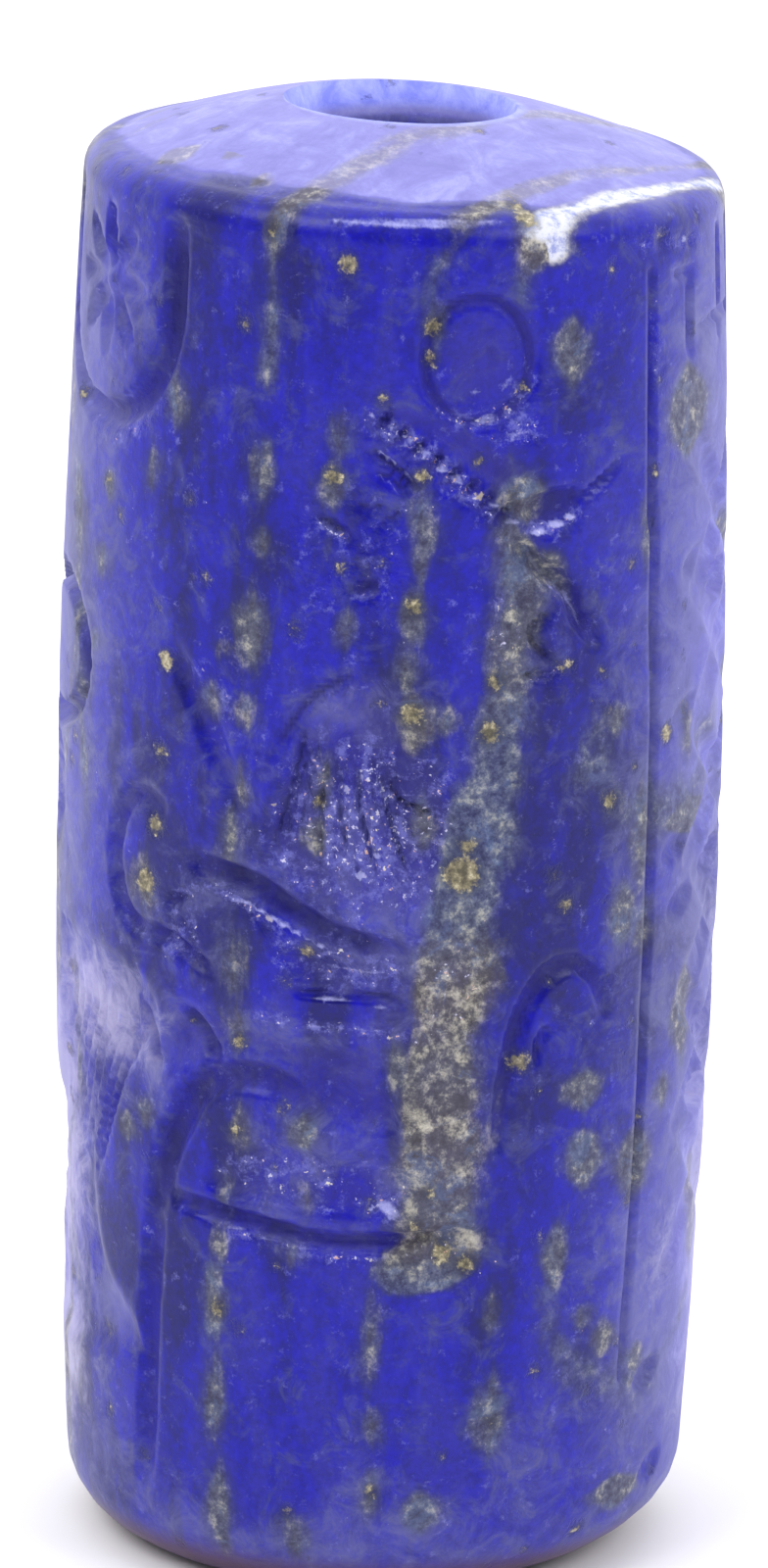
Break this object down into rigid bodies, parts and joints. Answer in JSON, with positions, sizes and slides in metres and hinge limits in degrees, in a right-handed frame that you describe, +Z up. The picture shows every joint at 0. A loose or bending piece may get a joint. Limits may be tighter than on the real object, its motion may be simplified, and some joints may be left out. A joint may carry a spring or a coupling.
{
  "type": "cylinder seal",
  "caption": "Lapis lazuli cylinder seal, slightly barrel-shaped, drilled lengthwise, its side carved with a frieze of beasts, robed figures, star, crescent and disc; stands on its underside.",
  "frame": {"origin": "centre of the flat underside, on the axis of the stone", "axes": "+Z up the axis from the underside to the crowned upper end, -Y towards the side with the disc and the two beasts, +X to the right of that side"},
  "size_m": [0.017, 0.017, 0.0374],
  "materials": {
    "lapis_lazuli": "polished, with grey calcite veins, pyrite grains and duller cut ground"
  },
  "bodies": {
    "root": {"seal_stone": "lapis_lazuli"}
  },
  "joints": []
}
